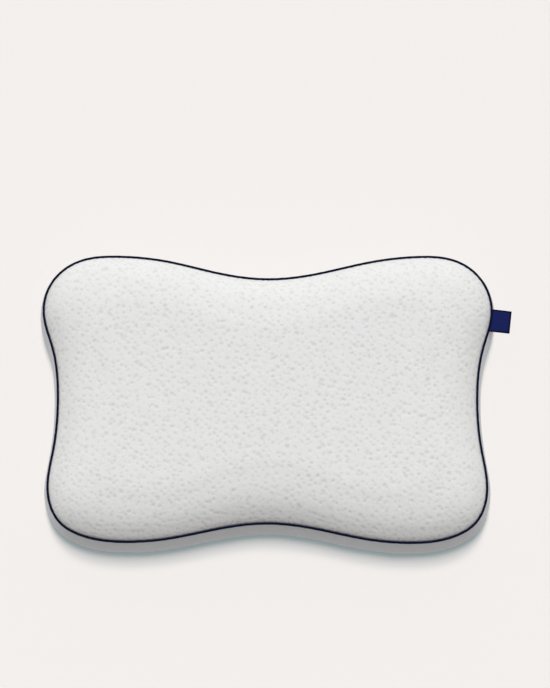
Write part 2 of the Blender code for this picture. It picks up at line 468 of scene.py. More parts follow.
class Shader:
    """A material under construction: a Principled shader and the nodes that feed it."""

    def __init__(
        self, name: str, colour: tuple[float, float, float], roughness: float, shine: float = 0.2
    ) -> None:
        """Start a material.

        Args:
            name: The material's name.
            colour: Its base colour, linear.
            roughness: Its roughness all over.
            shine: How much of a plain surface's reflection it has, 0.5 being all of it.
        """
        self.material = bpy.data.materials.new(name)
        self.material.use_nodes = True
        self.tree = self.material.node_tree
        self.surface = self.tree.nodes["Principled BSDF"]
        self.surface.inputs["Base Color"].default_value = (*colour, 1.0)
        self.surface.inputs["Roughness"].default_value = roughness
        self.surface.inputs["Specular IOR Level"].default_value = shine

    def add(self, kind: str, settings: dict | None = None, **inputs: NodeValue) -> bpy.types.Node:
        """Add a node.

        Args:
            kind: The node's class, without the ShaderNode in front.
            settings: Its properties.
            **inputs: Values or output sockets for its inputs, by name with _ for a space.

        Returns:
            The node.
        """
        node = self.tree.nodes.new("ShaderNode" + kind)
        for key, value in (settings or {}).items():
            setattr(node, key, value)
        for key, value in inputs.items():
            self.feed(node.inputs[key.replace("_", " ")], value)
        return node

    def feed(self, socket: bpy.types.NodeSocket, value: NodeValue) -> None:
        """Set an input to a value, or link an output to it."""
        if isinstance(value, bpy.types.NodeSocket):
            self.tree.links.new(value, socket)
        else:
            socket.default_value = value

    def sum(self, operation: str, *terms: NodeValue) -> bpy.types.NodeSocket:
        """The output of a Math node over values or sockets."""
        node = self.add("Math", {"operation": operation})
        for socket, value in zip(node.inputs, terms):
            self.feed(socket, value)
        return node.outputs[0]

    def cloth_place(self, across: float, along: float, turn: float = 0.0) -> bpy.types.NodeSocket:
        """The piece's own map, counted in repeats.

        Args:
            across: Length of a repeat along the map's first axis, in metres.
            along: The same along its second axis.
            turn: Turn of the pattern in the map, in radians.

        Returns:
            The scaled place.
        """
        source = self.add("UVMap", {"uv_map": CLOTH_MAP}).outputs["UV"]
        turned = self.add("Mapping", {"vector_type": "POINT"}, Vector=source)
        turned.inputs["Rotation"].default_value = (0.0, 0.0, turn)
        scaled = self.add("Mapping", {"vector_type": "POINT"}, Vector=turned.outputs[0])
        scaled.inputs["Scale"].default_value = (1 / across, 1 / along, 1.0)
        return scaled.outputs[0]

    def split(self, place: bpy.types.NodeSocket) -> tuple[bpy.types.NodeSocket, bpy.types.NodeSocket]:
        """A place's first two parts."""
        parts = self.add("SeparateXYZ", None, Vector=place).outputs
        return parts["X"], parts["Y"]

    def noise(self, size: float, detail: float = 2.0, stretch: float = 1.0) -> bpy.types.NodeSocket:
        """Soft noise over the piece, with lumps of about that size, longer along Z by stretch."""
        place = self.add("TexCoord").outputs["Object"]
        scaled = self.add("Mapping", {"vector_type": "POINT"}, Vector=place)
        scaled.inputs["Scale"].default_value = (1 / size, 1 / size, 1 / size / stretch)
        made = self.add("TexNoise", None, Vector=scaled.outputs[0], Scale=1.0, Detail=detail)
        return made.outputs["Fac"]

    def tint(self, factor: bpy.types.NodeSocket, dark: tuple, light: tuple) -> None:
        """Feed the base colour a mix from dark at factor 0 to light at factor 1."""
        mix = self.add("Mix", {"data_type": "RGBA"})
        self.feed(mix.inputs[0], factor)
        mix.inputs[6].default_value = (*dark, 1.0)
        mix.inputs[7].default_value = (*light, 1.0)
        self.feed(self.surface.inputs["Base Color"], mix.outputs[2])

    def emboss(self, height: bpy.types.NodeSocket, depth: float) -> None:
        """Bump the surface by a height from 0 to 1, depth metres tall."""
        bump = self.add("Bump", None, Strength=1.0, Distance=depth, Height=height)
        self.feed(self.surface.inputs["Normal"], bump.outputs[0])

    def sheen(self, weight: float, roughness: float = 0.5) -> None:
        """Add the soft glow of short fibres."""
        self.surface.inputs["Sheen Weight"].default_value = weight
        self.surface.inputs["Sheen Roughness"].default_value = roughness


@dataclass(frozen=True)
class KnitFinish:
    """White knit: columns of small loops, with soft colour unevenness."""

    name: str
    shade: tuple[float, float, float]
    hollow: float
    wale: float
    course: float
    relief: float
    roughness: float = 0.92
    slant: float = 1.1
    loop_weight: float = 0.9
    fuzz_size: float = 0.7 * MM
    fuzz_weight: float = 0.8
    speck_size: float = 2.4 * MM
    speck_weight: float = 1.2
    cloud_size: float = 22 * MM
    cloud_weight: float = 0.3
    pit_tone_and_shade: float = 0.8

    def make(self, pits: bool) -> bpy.types.Material:
        """Build the material.

        Args:
            pits: Whether the piece has a pit attribute whose deep places are darker: partly the tighter
                knit's own tone, partly painted shade.

        Returns:
            The material.
        """
        shader = Shader(self.name, self.shade, self.roughness)
        column, row = shader.split(shader.cloth_place(self.wale, self.course))
        across = shader.sum("PINGPONG", column, 0.5)
        slanted = shader.sum("MULTIPLY_ADD", across, self.slant, row)
        loop = shader.sum("PINGPONG", slanted, 0.5)
        ridge = shader.sum("MULTIPLY", across, 2.0)
        knit = shader.sum("MULTIPLY_ADD", loop, self.loop_weight, ridge)
        fuzz = shader.noise(self.fuzz_size, 3.0)
        shader.emboss(shader.sum("MULTIPLY_ADD", fuzz, self.fuzz_weight, knit), self.relief)
        cloud = shader.sum("MULTIPLY", shader.noise(self.cloud_size, 2.0), self.cloud_weight)
        speck = shader.noise(self.speck_size, 3.0)
        lightness = shader.sum("MULTIPLY_ADD", speck, self.speck_weight, cloud)
        # Darker in the pits: partly the tighter knit's own tone, partly painted shade in the hollows.
        if pits:
            pit = shader.add("Attribute", {"attribute_name": PIT_DEPTH}).outputs["Fac"]
            lightness = shader.sum("SUBTRACT", lightness, shader.sum("MULTIPLY", pit, self.pit_tone_and_shade))
        dark = tuple(self.hollow * part for part in self.shade)
        shader.tint(lightness, dark, self.shade)
        shader.sheen(0.12)
        return shader.material


@dataclass(frozen=True)
class RibFinish:
    """White stretch knit with fine upright ribs."""

    name: str
    shade: tuple[float, float, float]
    hollow: float
    rib: float
    relief: float
    course: float = 0.9 * MM
    course_weight: float = 0.4
    streak_size: float = 1.6 * MM
    streak_stretch: float = 5.0
    streak_weight: float = 1.2
    rib_tone: float = 0.6

    def make(self) -> bpy.types.Material:
        """Build the material."""
        shader = Shader(self.name, self.shade, 0.9)
        across, along = shader.split(shader.cloth_place(self.rib, self.course))
        rib = shader.sum("PINGPONG", across, 0.5)
        course = shader.sum("PINGPONG", along, 0.5)
        knit = shader.sum("MULTIPLY_ADD", course, self.course_weight, shader.sum("MULTIPLY", rib, 2.0))
        streak = shader.noise(self.streak_size, 3.0, stretch=self.streak_stretch)
        shader.emboss(shader.sum("MULTIPLY_ADD", streak, self.streak_weight, knit), self.relief)
        dark = tuple(self.hollow * part for part in self.shade)
        shader.tint(shader.sum("MULTIPLY_ADD", rib, self.rib_tone, streak), dark, self.shade)
        shader.sheen(0.1)
        return shader.material


@dataclass(frozen=True)
class BiasFinish:
    """Navy cloth cut on the bias: slanting threads wrapped round the cord."""

    name: str
    dark: tuple[float, float, float]
    light: tuple[float, float, float]
    thread: float = 0.45 * MM
    slant: float = math.radians(45)
    relief: float = 0.08 * MM

    def make(self) -> bpy.types.Material:
        """Build the material."""
        shader = Shader(self.name, self.light, 0.7, 0.06)
        across, along = shader.split(shader.cloth_place(self.thread, self.thread, self.slant))
        warp = shader.sum("PINGPONG", across, 0.5)
        weft = shader.sum("PINGPONG", along, 0.5)
        weave = shader.sum("ADD", warp, weft)
        fuzz = shader.noise(0.5 * MM, 2.0)
        shader.emboss(shader.sum("MULTIPLY_ADD", fuzz, 0.5, weave), self.relief)
        shader.tint(shader.sum("MULTIPLY_ADD", fuzz, 0.4, weave), self.dark, self.light)
        return shader.material


@dataclass(frozen=True)
class RibbonFinish:
    """Navy woven ribbon: fine cross ribs, with a darker woven edge down each side and painted shade along
    the fold.
    """

    name: str
    ground: tuple[float, float, float]
    edge: tuple[float, float, float]
    half_width: float
    edge_and_fold_shade_width: float = 2.2 * MM
    rib: float = 0.42 * MM
    relief: float = 0.06 * MM

    def make(self) -> bpy.types.Material:
        """Build the material."""
        shader = Shader(self.name, self.ground, 0.6, 0.06)
        across, along = shader.split(shader.add("UVMap", {"uv_map": CLOTH_MAP}).outputs["UV"])
        side = shader.sum("ABSOLUTE", across)
        to_side = shader.sum("SUBTRACT", self.half_width, side)
        # Darker near each side, the ribbon's own woven edge, and near the fold, where the darkening is
        # painted shade.
        nearest = shader.sum("MINIMUM", to_side, shader.sum("ABSOLUTE", along))
        inside = shader.add("MapRange", {"interpolation_type": "SMOOTHSTEP"}, Value=nearest)
        inside.inputs["From Min"].default_value = 0.7 * self.edge_and_fold_shade_width
        inside.inputs["From Max"].default_value = 1.2 * self.edge_and_fold_shade_width
        rib = shader.sum("PINGPONG", shader.sum("DIVIDE", along, self.rib), 0.5)
        cross = shader.sum("PINGPONG", shader.sum("DIVIDE", across, 0.8 * self.rib), 0.5)
        weave = shader.sum("MULTIPLY_ADD", cross, 0.5, rib)
        shader.emboss(weave, self.relief)
        tone = shader.sum("MULTIPLY_ADD", weave, 0.3, shader.sum("MULTIPLY", inside.outputs[0], 0.75))
        shader.tint(tone, self.edge, self.ground)
        return shader.material


@dataclass
class Pits:
    """The knitted-in dimples: an uneven staggered lattice of shallow pits."""

    first: tuple[float, float] = (5.0 * MM, -4.75 * MM)
    second: tuple[float, float] = (6.6 * MM, 5.8 * MM)
    depth: float = 0.67 * MM
    length: float = 1.3 * MM
    width: float = 1.05 * MM
    unevenness: float = 0.22
    tilt: float = 0.5
    table_side: int = 181
    seed: int = 7
    tables: dict[str, np.ndarray] = field(default_factory=dict)

    def __post_init__(self) -> None:
        """Roll each pit's own place, size, turn and depth."""
        dice = np.random.default_rng(self.seed)
        shape = (self.table_side, self.table_side)
        self.tables = {
            "shift_a": dice.normal(0, self.unevenness, shape),
            "shift_b": dice.normal(0, self.unevenness, shape),
            "turn": dice.normal(0, self.tilt, shape),
            "size": np.clip(dice.normal(1.0, 0.22, shape), 0.5, 1.6),
            "depth": np.clip(dice.normal(1.0, 0.3, shape), 0.3, 1.8),
        }

    def at(self, flat: np.ndarray) -> np.ndarray:
        """How deep the pits are, as a share of the usual depth.

        Args:
            flat: Places on the flat cloth, in metres.

        Returns:
            The depth at each place, 0 on the cloth between the pits.
        """
        lattice = np.array([self.first, self.second])
        cells = flat @ np.linalg.inv(lattice)
        base = np.floor(cells).astype(int)
        depth = np.zeros(len(flat))
        for step_a in range(-1, 3):
            for step_b in range(-1, 3):
                cell = base + (step_a, step_b)
                entry = tuple((cell % self.table_side).T)
                own = {key: table[entry] for key, table in self.tables.items()}
                middle = (cell + np.column_stack([own["shift_a"], own["shift_b"]])) @ lattice
                away = flat - middle
                cosine, sine = np.cos(own["turn"]), np.sin(own["turn"])
                along = (away[:, 0] * cosine + away[:, 1] * sine) / (self.length * own["size"])
                across = (away[:, 1] * cosine - away[:, 0] * sine) / (self.width * own["size"])
                depth += own["depth"] * np.exp(-0.5 * (along**2 + across**2))
        return depth


@dataclass
class CoverSwell:
    """How the filled cover swells between its sewn seams, found by a cloth simulation.

    The simulation runs on a coarse copy of the form, held at both seams. The fine pieces then take its
    moves over, so their own seams, pits and puckers stay as drawn.
    """

    voxel: float = 6.5 * MM
    start_in: float = 0.6 * MM
    pressure: float = 2.0
    last_frame: int = 20
    cap: float = 1.0 * MM
    held_near: float = 5 * MM
    held_least: float = 0.02
    ground: tuple[float, float] = (4 * MM, 10 * MM)
    passes: int = 12
    rough_spacing: float = 6 * MM
    rough_points: int = 320
    rough_step: int = 4
    seam_points: int = 640
    tree: KDTree | None = None
    moves: np.ndarray | None = None

    def run(self, seam: SeamLine, sizes: CoverSizes) -> None:
        """Blow up an even, coarse copy of the filled form, and keep how far each of its points moved.

        Args:
            seam: The top seam in plan.
            sizes: The cover's heights and offsets.
        """
        rough = FilledTop(
            seam,
            sizes,
            self,
            spacing=self.rough_spacing,
            round_points=self.rough_points,
            coarse_step=self.rough_step,
        )
        ring = seam.loop(self.seam_points)
        top_seam = at_height(ring.offset(sizes.piping_out), sizes.seam_height)
        base_seam = at_height(ring.offset(sizes.base_seam_out), sizes.base_seam)
        copy = mesh_piece("cover_swell", *rough.form())
        even = copy.modifiers.new("even", "REMESH")
        even.mode, even.voxel_size = "VOXEL", self.voxel
        bpy.context.view_layer.objects.active = copy
        bpy.ops.object.modifier_apply(modifier=even.name)
        started, normals = self._read(copy.data, "co"), self._read(copy.data, "normal")
        held = self._held(started, np.vstack([top_seam, base_seam]))
        shrunk = started - normals * (self.start_in * (1 - held))[:, None]
        copy.data.vertices.foreach_set("co", shrunk.ravel())
        sewn = copy.vertex_groups.new(name="sewn")
        for number in np.flatnonzero(held > self.held_least).tolist():
            sewn.add([number], float(held[number]), "REPLACE")
        self._simulate(copy)
        settled = copy.evaluated_get(bpy.context.evaluated_depsgraph_get()).data
        moves = self._smooth(copy.data, self._read(settled, "co") - started)
        size = np.linalg.norm(moves, axis=1)
        eased = self.cap * np.tanh(size / self.cap)
        self.moves = moves * (eased / np.maximum(size, 1e-9))[:, None]
        self.tree = tree_of(started)
        LOG.info("cover_swell: %d points, mean move %.2f mm", len(started), size.mean() / MM)
        bpy.context.scene.frame_set(1)
        bpy.data.objects.remove(copy, do_unlink=True)

    def _read(self, mesh: bpy.types.Mesh, what: str) -> np.ndarray:
        """Each point's place or normal."""
        values = np.empty(len(mesh.vertices) * 3)
        mesh.vertices.foreach_get(what, values)
        return values.reshape(-1, 3)

    def _held(self, places: np.ndarray, seams: np.ndarray) -> np.ndarray:
        """How firmly each point is held, 1 at a seam or on the ground and 0 away from them."""
        near = tree_of(seams)
        away = np.array([near.find(place)[2] for place in places.tolist()])
        held = 1 - smooth_step(away, self.held_near, 3 * self.held_near)
        return np.maximum(held, 1 - smooth_step(places[:, 2], *self.ground))

    def _simulate(self, copy: bpy.types.Object) -> None:
        """Let the copy swell under pressure alone."""
        cloth = copy.modifiers.new("swell", "CLOTH")
        settings = cloth.settings
        settings.quality = 5
        settings.mass = 0.3
        settings.tension_stiffness = settings.compression_stiffness = 40
        settings.bending_stiffness = 1.0
        settings.use_pressure = True
        settings.uniform_pressure_force = self.pressure
        settings.effector_weights.gravity = 0.0
        settings.vertex_group_mass = "sewn"
        cloth.collision_settings.use_collision = False
        cloth.point_cache.frame_start, cloth.point_cache.frame_end = 1, self.last_frame
        for frame in range(1, self.last_frame + 1):
            bpy.context.scene.frame_set(frame)

    def _smooth(self, mesh: bpy.types.Mesh, moves: np.ndarray) -> np.ndarray:
        """The moves, evened out with their neighbours'."""
        ends = np.empty(len(mesh.edges) * 2, np.int32)
        mesh.edges.foreach_get("vertices", ends)
        first, second = ends.reshape(-1, 2).T
        count = np.bincount(ends, minlength=len(moves))[:, None]
        for _ in range(self.passes):
            total = np.zeros_like(moves)
            np.add.at(total, first, moves[second])
            np.add.at(total, second, moves[first])
            moves = 0.5 * moves + 0.5 * total / count
        return moves

    def at(self, places: np.ndarray, normals: np.ndarray) -> np.ndarray:
        """How far the cover swells along each point's normal.

        Args:
            places: Points on the cover.
            normals: Their outward directions.

        Returns:
            The swell at each point, 0 everywhere if nothing was simulated.
        """
        if self.tree is None:
            return np.zeros(len(places))
        swell = np.empty(len(places))
        for number, (place, normal) in enumerate(zip(places.tolist(), normals)):
            found = self.tree.find_n(place, 4)
            weights = np.array([1 / (away + MM) ** 2 for _, _, away in found])
            moved = self.moves[[near for _, near, _ in found]] @ normal
            swell[number] = (moved * weights).sum() / weights.sum()
        return swell


@dataclass
class SewnPiece:
    """A piece of the cover, laid out from the top seam and the sizes that the pieces share."""

    seam: SeamLine
    sizes: CoverSizes


@dataclass
class FilledTop(SewnPiece):
    """The filling under its dimpled top panel, as one closed crowned form."""

    swell: CoverSwell
    pits: Pits = field(default_factory=Pits)
    spacing: float = 1.66 * MM
    ring_zone: float = 22 * MM
    blend: tuple[float, float] = (4 * MM, 16 * MM)
    rim_points: int = 2400
    round_points: int = 1100
    coarse_step: int = 10
    pucker: float = 0.12 * MM
    pucker_reach: float = 6 * MM
    pit_margin: float = 2.5 * MM
    swell_reach: float = 10 * MM
    wall_shares: tuple[float, ...] = (0.97, 0.8, 0.5, 0.2, 0.02)

    def _ring_depths(self) -> np.ndarray:
        """Depths in plan of the rings by the seam, at even steps over the steep shoulder."""
        depth = np.concatenate([[0.0], np.geomspace(1e-5, self.ring_zone, 4000)])
        rise = self.sizes.climb(depth) * self._full_rise()
        steps = np.hypot(np.diff(depth), np.diff(rise))
        arc = np.concatenate([[0.0], np.cumsum(steps)])
        count = int(arc[-1] / self.spacing)
        return np.interp(np.linspace(0.0, arc[-1], count + 1), arc, depth)

    def _full_rise(self) -> float:
        """The shoulder's rise from the foot to the plateau's edge."""
        return self.sizes.top - self.sizes.plateau_rise - self.sizes.seam_height

    def _spread(self, depth: np.ndarray) -> np.ndarray:
        """How much longer the cloth is than its plan, from each depth to the plateau."""
        fine = np.concatenate([[0.0], np.geomspace(1e-5, self.sizes.shoulder_width, 6000)])
        rise = self.sizes.climb(fine) * self._full_rise()
        arc = np.concatenate([[0.0], np.cumsum(np.hypot(np.diff(fine), np.diff(rise)))])
        extra = arc - fine
        return extra[-1] - np.interp(depth, fine, extra)

    def _plan(self) -> tuple[np.ndarray, np.ndarray, np.ndarray, np.ndarray, np.ndarray]:
        """Lay out the panel's points and triangles in plan.

        Returns:
            The plan points, their depth in from the foot, their outward directions, the ring quads and
            the triangles of the middle.
        """
        seam_loop = self.seam.loop(self.round_points)
        depths = self._ring_depths()
        rings = [seam_loop.offset(self.sizes.foot_out - depth) for depth in depths]
        ring_points = np.vstack(rings)
        ring_depth = np.repeat(depths, self.round_points)
        innermost = rings[-1]
        lattice = self._lattice(innermost)
        edge_count = len(innermost)
        coordinates = [Vector(point) for point in np.vstack([innermost, lattice]).tolist()]
        edges = [(here, (here + 1) % edge_count) for here in range(edge_count)]
        faces = delaunay_2d_cdt(coordinates, edges, [], 1, 1e-7)[2]
        first = len(ring_points) - edge_count
        middle = np.array(faces, dtype=int) + first
        plan = np.vstack([ring_points, lattice])
        foot = seam_loop.offset(self.sizes.foot_out)
        lattice_depth = soft_depth(lattice, foot)
        smoothed = soft_depth(ring_points, self.seam.loop(self.rim_points).offset(self.sizes.foot_out))
        settled = smooth_step(ring_depth, *self.blend)
        ring_depth = ring_depth * (1 - settled) + smoothed * settled
        depth = np.concatenate([ring_depth, lattice_depth])
        outward = np.vstack([np.tile(seam_loop.outward, (len(depths), 1)), self._outward(lattice, foot)])
        rows = ring_numbers(self.round_points, len(depths))
        return plan, depth, outward, ring_quads(rows), middle

    def _lattice(self, rim: np.ndarray) -> np.ndarray:
        """Evenly staggered points inside the rim, clear of it by most of a step."""
        rise = self.spacing * math.sqrt(3) / 2
        half_x, half_y = np.abs(rim).max(axis=0)
        rows = []
        for row in range(-int(half_y / rise) - 1, int(half_y / rise) + 2):
            start = self.spacing / 2 * (row % 2)
            count = int(half_x / self.spacing) + 1
            across = np.arange(-count, count + 1) * self.spacing + start
            rows.append(np.column_stack([across, np.full(len(across), row * rise)]))
        points = np.vstack(rows)
        return points[np.linalg.norm(points, axis=1) < rim_reach(rim, points) - 0.9 * self.spacing]

    def _outward(self, points: np.ndarray, rim: np.ndarray) -> np.ndarray:
        """The way out to the rim from each point, as the slope of the soft depth."""
        nudge = 0.5 * MM
        slope = np.empty_like(points)
        for axis in range(2):
            step = np.zeros(2)
            step[axis] = nudge
            slope[:, axis] = soft_depth(points - step, rim) - soft_depth(points + step, rim)
        return slope / np.maximum(np.linalg.norm(slope, axis=1)[:, None], 1e-12)

    def _raised(self, plan: np.ndarray, depth: np.ndarray) -> np.ndarray:
        """The panel's place over each plan point, without its pits."""
        foot = self.seam.loop(self.round_points).offset(self.sizes.foot_out)
        share = np.linalg.norm(plan, axis=1) / rim_reach(foot, plan)
        rise = self._full_rise() * self.sizes.climb(depth)
        height = self.sizes.seam_height + rise + self.sizes.plateau_rise * (1 - share**2)
        return np.column_stack([plan, height])

    def _underside(self, first: int, foot_count: int) -> tuple[np.ndarray, list]:
        """The hidden wall and floor of the filling, in coarse rings below the foot.

        Args:
            first: The number that the first new point gets.
            foot_count: How many points the foot ring has, numbered from 0.

        Returns:
            The new points, and the faces that join them to the foot and to each other.
        """
        sizes = self.sizes
        lining = sizes.cloth + sizes.fit
        coarse = self.seam.loop(foot_count // self.coarse_step)
        count = len(coarse.points)
        shares = np.array(self.wall_shares)
        section = [
            (float(out) - lining, sizes.band_low + (sizes.band_high - sizes.band_low) * share)
            for share, out in zip(shares, sizes.band_out(shares))
        ]
        reach = sizes.base_turn_reach
        section += [
            (sizes.base_seam_out - lining - 0.3 * reach, lining + 2 * MM),
            (sizes.base_seam_out - reach, lining),
        ]
        rings = [at_height(coarse.offset(out), height) for out, height in section]
        rows = ring_numbers(count, len(rings), first)
        faces = self._step_down(foot_count, rows[0])
        faces += ring_quads(rows).tolist()
        middle = first + len(rings) * count
        faces += fan(rows[-1], middle)
        return np.vstack(rings + [np.array([[0.0, 0.0, lining]])]), faces

    def _step_down(self, fine_count: int, coarse: np.ndarray) -> list:
        """Triangles from a fine ring, numbered from 0, to a coarse one."""
        faces = []
        step = self.coarse_step
        for number, near in enumerate(coarse.tolist()):
            far = int(coarse[(number + 1) % len(coarse)])
            fine = [(number * step + part) % fine_count for part in range(step + 1)]
            half = step // 2
            faces += [[near, a, b] for a, b in zip(fine[:half], fine[1 : half + 1])]
            faces.append([near, fine[half], far])
            faces += [[far, a, b] for a, b in zip(fine[half:-1], fine[half + 1 :])]
        return faces

    def _closed(self, panel: np.ndarray, quads: np.ndarray, middle: np.ndarray) -> tuple[np.ndarray, list]:
        """The panel's points and faces, with those of the hidden filling below it."""
        under, under_faces = self._underside(len(panel), self.round_points)
        return np.vstack([panel, under]), quads.tolist() + middle.tolist() + under_faces

    def form(self) -> tuple[np.ndarray, list]:
        """The closed form without its pits, as points and faces."""
        plan, depth, _, quads, middle = self._plan()
        return self._closed(self._raised(plan, depth), quads, middle)

    def build(self, material: bpy.types.Material) -> bpy.types.Object:
        plan, depth, outward, quads, middle = self._plan()
        panel = self._raised(plan, depth)
        halves = np.vstack([quads[:, [0, 1, 2]], quads[:, [0, 2, 3]]])
        side = vertex_normals(panel, halves)
        if side[:, 2].sum() < 0:
            halves = halves[:, ::-1]
        normals = vertex_normals(panel, np.vstack([halves, middle]))
        flat = plan + outward * self._spread(depth)[:, None]
        pit = self.pits.at(flat) * smooth_step(depth, 0.0, self.pit_margin)
        travel = np.tile(self.seam.loop(self.round_points).travel, len(self._ring_depths()))
        ringed = len(travel)
        pucker = np.zeros(len(plan))
        waves = ripple(travel, self.seam.length, range(150, 330, 3), 11)
        pucker[:ringed] = waves * np.exp(-depth[:ringed] / self.pucker_reach)
        swell = self.swell.at(panel, normals) * smooth_step(depth, 0.0, self.swell_reach)
        panel += normals * (swell + self.pucker * pucker - self.pits.depth * pit)[:, None]
        places, faces = self._closed(panel, quads, middle)
        under = places[len(panel) :]
        piece = mesh_piece("dimpled_cushion", places, faces)
        give_map(piece, np.vstack([flat, under[:, :2]]))
        give_attribute(piece, PIT_DEPTH, np.concatenate([np.clip(pit, 0, 1.2), np.zeros(len(under))]))
        hand_over(piece, Slot.TOP, material, "cushion")
        return piece


@dataclass
class SideBand(SewnPiece):
    """The ribbed strip round the pillow's side, softly swollen between its two seams."""

    swell: CoverSwell
    round_points: int = 1240
    rows: int = 30
    inner_rows: int = 6
    edge_share: float = 0.012
    inner_share: float = 0.02
    edge_roll: float = 0.405 * MM
    pucker: float = 0.16 * MM
    pucker_reach: float = 7 * MM
    sway: float = 0.25 * MM

    def _sections(self) -> tuple[np.ndarray, np.ndarray, np.ndarray]:
        """The band's closed section.

        Returns:
            For each point of it: how far out it is, its height, and how far up the cloth it is.
        """
        sizes = self.sizes
        span = sizes.band_high - sizes.band_low
        share = (1 - np.cos(math.pi * np.linspace(0, 1, self.rows))) / 2
        outer_share = self.edge_share + (1 - 2 * self.edge_share) * share
        outer = np.column_stack([sizes.band_out(outer_share), sizes.band_low + span * outer_share])
        inner_share = np.linspace(1 - self.inner_share, self.inner_share, self.inner_rows)
        inner = np.column_stack(
            [sizes.band_out(inner_share) - sizes.cloth, sizes.band_low + span * inner_share]
        )
        top_edge = np.array([[outer[-1, 0] - self.edge_roll, sizes.band_high]])
        low_edge = np.array([[outer[0, 0] - self.edge_roll, sizes.band_low]])
        section = np.vstack([outer, top_edge, inner, low_edge])
        steps = np.linalg.norm(np.diff(section, axis=0), axis=1)
        up = np.concatenate([[0.0], np.cumsum(steps)])
        return section[:, 0], section[:, 1], up

    def build(self, material: bpy.types.Material) -> bpy.types.Object:
        sizes = self.sizes
        loop = self.seam.loop(self.round_points)
        outs, heights, up = self._sections()
        length = self.seam.length
        fine_top = ripple(loop.travel, length, range(130, 300, 3), 21)
        fine_low = ripple(loop.travel, length, range(110, 260, 3), 22)
        broad = ripple(loop.travel, length, range(9, 34, 2), 23)
        level = np.column_stack([loop.outward, np.zeros(len(loop.outward))])
        rows, flats = [], []
        for out, height, climbed in zip(outs, heights, up):
            share = (height - sizes.band_low) / (sizes.band_high - sizes.band_low)
            near_top = math.exp(-(sizes.band_high - height) / self.pucker_reach)
            near_low = math.exp(-(height - sizes.band_low) / self.pucker_reach)
            bulge = math.sin(math.pi * min(max(share, 0.0), 1.0))
            move = self.pucker * (fine_top * near_top + fine_low * near_low) * (1 - 0.7 * (share > 0.98))
            place = at_height(loop.offset(out), height)
            move = move + (self.sway * broad + self.swell.at(place, level)) * bulge
            rows.append(at_height(loop.offset(out + move), height))
            flats.append(np.column_stack([loop.travel, np.full(len(move), climbed)]))
        piece = ring_piece("ribbed_side_band", rows, flats, length)
        hand_over(piece, Slot.BAND, material, "side_band")
        return piece


@dataclass
class BasePanel(SewnPiece):
    """The plain panel that the pillow lies on, with its edge turned up to the base seam."""

    round_points: int = 620
    turn_steps: int = 8
    floor_rings: tuple[float, ...] = (0.985, 0.96, 0.92, 0.86, 0.78, 0.68, 0.56, 0.42, 0.26, 0.1)
    pucker: float = 0.1 * MM
    allowance: float = 10 * MM

    def _section(self, inset: float, steps: int) -> np.ndarray:
        """The turned-up edge's (out, height) points from the flat up, moved in by inset."""
        sizes = self.sizes
        turn = math.pi / 2 * np.arange(steps + 1) / steps
        reach = sizes.base_turn_reach - inset
        out = sizes.base_seam_out - inset - reach * (1 - np.sin(turn))
        return np.column_stack([out, inset + (sizes.base_seam - inset) * (1 - np.cos(turn))])

    def _floor(self, edge: np.ndarray) -> list[np.ndarray]:
        """Rings of the flat from its edge to near the middle."""
        return [edge * (share, share, 1.0) for share in self.floor_rings]

    def build(self, material: bpy.types.Material) -> bpy.types.Object:
        loop = self.seam.loop(self.round_points)
        waves = self.pucker * ripple(loop.travel, self.seam.length, range(90, 200, 3), 31)
        under = self._section(0.0, self.turn_steps)
        over = self._section(self.sizes.cloth, 3)

        def ring(out: float, height: float, share: float) -> np.ndarray:
            """A level ring that takes a share of the puckers."""
            return at_height(loop.offset(out + waves * share), height)

        edge_low = [ring(out, height, height / self.sizes.base_seam) for out, height in under]
        edge_high = [ring(out, height, 0.0) for out, height in over]
        rings = self._floor(edge_low[0])[::-1] + edge_low + edge_high[::-1]
        rings.append(edge_high[0] * (0.5, 0.5, 1.0))
        numbers = ring_numbers(self.round_points, len(rings))
        total = len(rings) * self.round_points
        faces = ring_quads(numbers).tolist() + fan(numbers[0], total) + fan(numbers[-1], total + 1)
        middles = [rings[0][0][2], rings[-1][0][2]]
        centres = np.array([[0.0, 0.0, height] for height in middles])
        places = np.vstack(rings + [centres])
        piece = mesh_piece("plain_base_panel", places, faces)
        give_map(piece, places[:, :2])
        hand_over(piece, Slot.BASE, material, "base_panel")
        return piece


@dataclass
class Piping(SewnPiece):
    """The navy cord in the top seam, in its own bias-cut cloth."""

    round_points: int = 1500
    sides: int = 12
    unevenness: float = 0.05 * MM

    def build(self, material: bpy.types.Material) -> bpy.types.Object:
        """Build and dress the piece."""
        sizes = self.sizes
        loop = self.seam.loop(self.round_points)
        length = self.seam.length
        drift = self.unevenness * ripple(loop.travel, length, range(40, 160, 5), 41)
        lift = self.unevenness * ripple(loop.travel, length, range(30, 140, 5), 42)
        rows, flats = [], []
        for side in range(self.sides):
            angle = 2 * math.pi * side / self.sides
            radius = sizes.piping_radius
            plan = loop.offset(sizes.piping_out + drift + radius * math.cos(angle))
            height = sizes.seam_height + lift + radius * math.sin(angle)
            rows.append(np.column_stack([plan, height]))
            flats.append(np.column_stack([loop.travel, np.full(len(height), radius * angle)]))
        piece = ring_piece("bias_piping", rows, flats, length)
        hand_over(piece, Slot.PIPING, material, "piping")
        return piece


